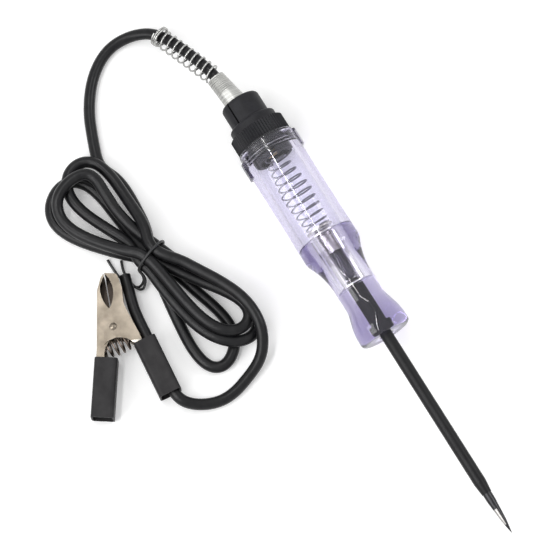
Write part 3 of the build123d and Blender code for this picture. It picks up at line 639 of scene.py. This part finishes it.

# ---- needle: dark steel rod in a black sleeve ----
# A hard rod ground to a rounded point, with a painted highlight on one side near the point. A black sleeve
# covers its shank, and a black moulded bushing with a small button at its inner end holds it in the barrel.
needle_r = 0.0015
needle_from = -0.004568
needle_tip = 0.090632
# Where the painted highlight lies on the point: a stretch along it, on one side only.
glint_along = (0.0818, 0.0870)
glint_side = (-0.01, -0.0002)
bushing_r = 0.0019
bushing_from = -0.0046
bushing_head_r = 0.0027
bushing_head_from = 0.0104
bushing_end = 0.014432
button_r = 0.0028
button_from = -0.0068
button_end = -0.0053
satin_black = Finish("satin_black", (0.016, 0.016, 0.017), 0.38)
satin_black.vary_roughness(satin_black.speckle(500, 3.0, (0.2, 1, 1)), 0.30, 0.48)
satin_black.vary_colour(satin_black.speckle(300), (0.006, 0.006, 0.007), (0.010, 0.010, 0.011))
satin_black.shader.inputs["Specular IOR Level"].default_value = 0.18
dress(satin_black, "probe_sleeve")
ground_steel = Finish("ground_steel", (0.06, 0.06, 0.06), 0.25, 1.0)
ground_steel.vary_roughness(ground_steel.speckle(900, 2.0, (0.1, 1, 1)), 0.2, 0.4)
needle_axes = ground_steel.node("SeparateXYZ")
ground_steel.link(ground_steel.place, needle_axes.inputs[0])
# Painted highlight: a lighter band on one side of the point stands in for a glint.
painted_glint = combine(
    ground_steel, "MULTIPLY", band(ground_steel, needle_axes.outputs["X"], *glint_along, 0.0006),
    band(ground_steel, needle_axes.outputs["Y"], *glint_side, 0.0002),
)
ground_steel.vary_colour(painted_glint, (0.035, 0.035, 0.037), (0.34, 0.33, 0.32), 0.2, 0.8)
needle_shape = turned_shape([
    (needle_from, 0, 0), (needle_from, needle_r, 0.0001), (0.0781, needle_r, 0.0005),
    (0.0806, 0.00128, 0.0005), (0.0831, 0.00109, 0.0005), (0.0856, 0.00087, 0.0005), (0.0871, 0.00068, 0.0004),
    (0.0886, 0.00042, 0.0004), (0.0896, 0.00024, 0.0003), (needle_tip, 0.00004, 0), (needle_tip, 0, 0),
], steps=48)
bmesh.ops.translate(needle_shape, verts=needle_shape.verts, vec=(0, 0, axis_up))
needle = finished("ground_needle", needle_shape, ground_steel, "handle", sharp=60)
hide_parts("probe_needle")
bushing_shape = turned_shape([
    (button_from, 0, 0), (button_from, button_r, 0.0005), (button_end, button_r, 0.0001),
    (button_end, needle_r, 0), (bushing_from, needle_r, 0), (bushing_from, bushing_r, 0.0001),
    (bushing_head_from, bushing_r, 0.0001), (bushing_head_from, bushing_head_r, 0.0002),
    (bushing_end, bushing_head_r, 0.0002), (bushing_end, 0, 0),
], steps=48)
bmesh.ops.translate(bushing_shape, verts=bushing_shape.verts, vec=(0, 0, axis_up))
bushing = finished("moulded_bushing", bushing_shape, cap_black, "handle", sharp=50)
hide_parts("needle_bushing")

# ---- clip: stamped nickel-plated halves on a riveted pin ----
# Two halves folded from thin sheet close on a line. A painted highlight lightens the folds, and painted
# shade darkens the insides of the jaws.
clip_pin_place = Vector((-0.035, -0.0749, 0.0041))
clip_turn = radians(159.4)
fold_r = 0.0005
# Where the painted shade lies between the jaws, and the bands of the painted highlight on the folds.
jaws_along = (0.0056, 0.0176)
jaws_across = (-0.0042, 0.0023)
jaws_up = (-0.01, 0.0020)
outer_folds = (0.00300, 0.00344)
inner_folds = (0.00245, 0.00284)
clip_nickel = Finish("clip_nickel", (0.38, 0.33, 0.26), 0.3, 1.0)
plain_nickel = clip_nickel.vary_colour(
    clip_nickel.speckle(180, 4.0), (0.17, 0.145, 0.115), (0.30, 0.26, 0.21)
)
clip_nickel.vary_roughness(clip_nickel.speckle(420, 4.0), 0.22, 0.42)
clip_nickel.raise_grain(clip_nickel.speckle(260, 3.0), 0.00004)
from_pin = clip_nickel.node("Mapping", vector_type="TEXTURE")
from_pin.inputs["Location"].default_value = clip_pin_place
from_pin.inputs["Rotation"].default_value = (0, 0, clip_turn)
clip_nickel.link(clip_nickel.place, from_pin.inputs["Vector"])
jaw_axes = clip_nickel.node("SeparateXYZ")
clip_nickel.link(from_pin.outputs["Vector"], jaw_axes.inputs[0])
# Mask for the painted shade inside the jaws, where the folded sheet shades itself.
jaw_shade_mask = band(clip_nickel, jaw_axes.outputs["X"], *jaws_along, 0.0008)
for side, limits in (("Y", jaws_across), ("Z", jaws_up)):
    between_walls = band(clip_nickel, jaw_axes.outputs[side], *limits, 0.0003)
    jaw_shade_mask = combine(clip_nickel, "MULTIPLY", jaw_shade_mask, between_walls)
from_middle = clip_nickel.node("Math", operation="ABSOLUTE")
clip_nickel.link(jaw_axes.outputs["Z"], from_middle.inputs[0])
# Mask for the painted highlight along the folds.
fold_highlight_mask = combine(
    clip_nickel, "MAXIMUM", band(clip_nickel, from_middle.outputs[0], *outer_folds, 0.00004),
    band(clip_nickel, from_middle.outputs[0], *inner_folds, 0.00004),
)


def patch_colour(finish, share, under, patch):
    """The patch's colour where the share is 1, and what is under it elsewhere."""
    mixed = finish.node("Mix", data_type="RGBA")
    finish.link(share, mixed.inputs["Factor"])
    finish.link(under, mixed.inputs["A"])
    mixed.inputs["B"].default_value = (*patch, 1)
    return mixed.outputs["Result"]


# Painted shade: the insides of the jaws are darkened.
painted_jaw_shade = patch_colour(clip_nickel, jaw_shade_mask, plain_nickel, (0.035, 0.028, 0.024))
# Painted highlight: the folds are lightened.
painted_fold_highlight = patch_colour(clip_nickel, fold_highlight_mask, painted_jaw_shade, (0.66, 0.62, 0.54))
clip_nickel.link(painted_fold_highlight, clip_nickel.shader.inputs["Base Color"])
clip_axes = Matrix.Translation(clip_pin_place) @ Matrix.Rotation(clip_turn, 4, "Z")
for half, body, outward in (("clip_half_cable", "lead", -1), ("clip_half_lever", "clip_lever", 1)):
    pressed = bmesh.new()
    pressed.from_mesh(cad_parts[half].data)
    bmesh.ops.remove_doubles(pressed, verts=pressed.verts, dist=0.000002)
    bmesh.ops.transform(pressed, verts=pressed.verts, matrix=clip_axes.inverted())
    bmesh.ops.dissolve_limit(pressed, angle_limit=radians(1), verts=pressed.verts, edges=pressed.edges)
    folds = []
    for edge in pressed.edges:
        on_outside = abs(edge.verts[0].co.z) > 0.0027
        plate = [face for face in edge.link_faces if abs(face.normal.z) > 0.9]
        wall = [
            face for face in edge.link_faces if abs(face.normal.z) < 0.1 and face.normal.y * outward > 0.3
        ]
        if len(plate) == 1 and len(wall) == 1 and edge.is_convex and on_outside:
            folds.append(edge)
    bmesh.ops.bevel(
        pressed, geom=folds, offset=fold_r, offset_type="OFFSET", segments=4, profile=0.5, affect="EDGES",
        material=-1, clamp_overlap=True,
    )
    bmesh.ops.transform(pressed, verts=pressed.verts, matrix=clip_axes)
    new_name = half.replace("clip_half", "pressed_half")
    new_half = finished(new_name, pressed, clip_nickel, body, sharp=35)
    new_half.modifiers.new("even_shading", "WEIGHTED_NORMAL").keep_sharp = True
    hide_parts(half)

# ---- rivet: nickel-plated, domed at both ends ----
# It holds the two halves' ears together and is the pin on which they turn.
rivet_shape = turned_shape([
    (-0.0041, 0, 0), (-0.00402, 0.0005, 0), (-0.00382, 0.0009, 0), (-0.0035, 0.0013, 0), (-0.0034, 0.0014, 0),
    (-0.0034, 0.0011, 0), (0.0034, 0.0011, 0), (0.0034, 0.0014, 0), (0.0035, 0.0013, 0), (0.00382, 0.0009, 0),
    (0.00402, 0.0005, 0), (0.0041, 0, 0),
], steps=32)
bmesh.ops.transform(rivet_shape, verts=rivet_shape.verts, matrix=(
    Matrix.Translation(clip_pin_place) @ Matrix.Rotation(-pi / 2, 4, "Y")
))
rivet = finished("rivet", rivet_shape, clip_nickel, "lead", sharp=50)
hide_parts("clip_pin")

# ---- clip spring: dark steel wire between the handles ----
# A compression spring, a little wider at its middle, whose end turns sit in the two handles' channels.
grip_spring_from = Vector((-0.028699, -0.069789, 0.0041))
grip_spring_to = Vector((-0.029984, -0.082020, 0.0041))
grip_spring_r = 0.0019
grip_wider_by = 0.0011
grip_wire = 0.0007
grip_turns = 6
clip_wire = Finish("clip_wire", (0.16, 0.13, 0.11), 0.3, 1.0)
clip_wire.vary_roughness(clip_wire.speckle(600), 0.2, 0.45)
grip_spring_line = grip_spring_to - grip_spring_from
grip_coil = wound_wire(grip_spring_r, grip_wire, [(grip_turns, grip_spring_line.length / grip_turns)])
widen(grip_coil, lambda x: grip_wider_by * sin(pi * min(max(x / grip_spring_line.length, 0), 1)))
bmesh.ops.transform(grip_coil, verts=grip_coil.verts, matrix=(
    Matrix.Translation(grip_spring_from) @ grip_spring_line.to_track_quat("X", "Z").to_matrix().to_4x4()
))
grip_spring = finished("grip_spring", grip_coil, clip_wire, None)
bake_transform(grip_spring)
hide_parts("clip_spring")

# ---- sleeves on the clip's handles: soft black PVC ----
# Pushed on over each handle; the one on the fixed half also holds the cable beside it.
sleeve_pvc = Finish("sleeve_pvc", (0.022, 0.022, 0.024), 0.55)
sleeve_pvc.vary_colour(sleeve_pvc.speckle(260), (0.012, 0.011, 0.012), (0.021, 0.020, 0.021))
sleeve_pvc.shader.inputs["Specular IOR Level"].default_value = 0.25
sleeve_pvc.vary_roughness(sleeve_pvc.speckle(160), 0.45, 0.65)
sleeve_pvc.raise_grain(sleeve_pvc.speckle(700, 2.0), 0.00005)
dress(sleeve_pvc, "grip_cable", "grip_lever")
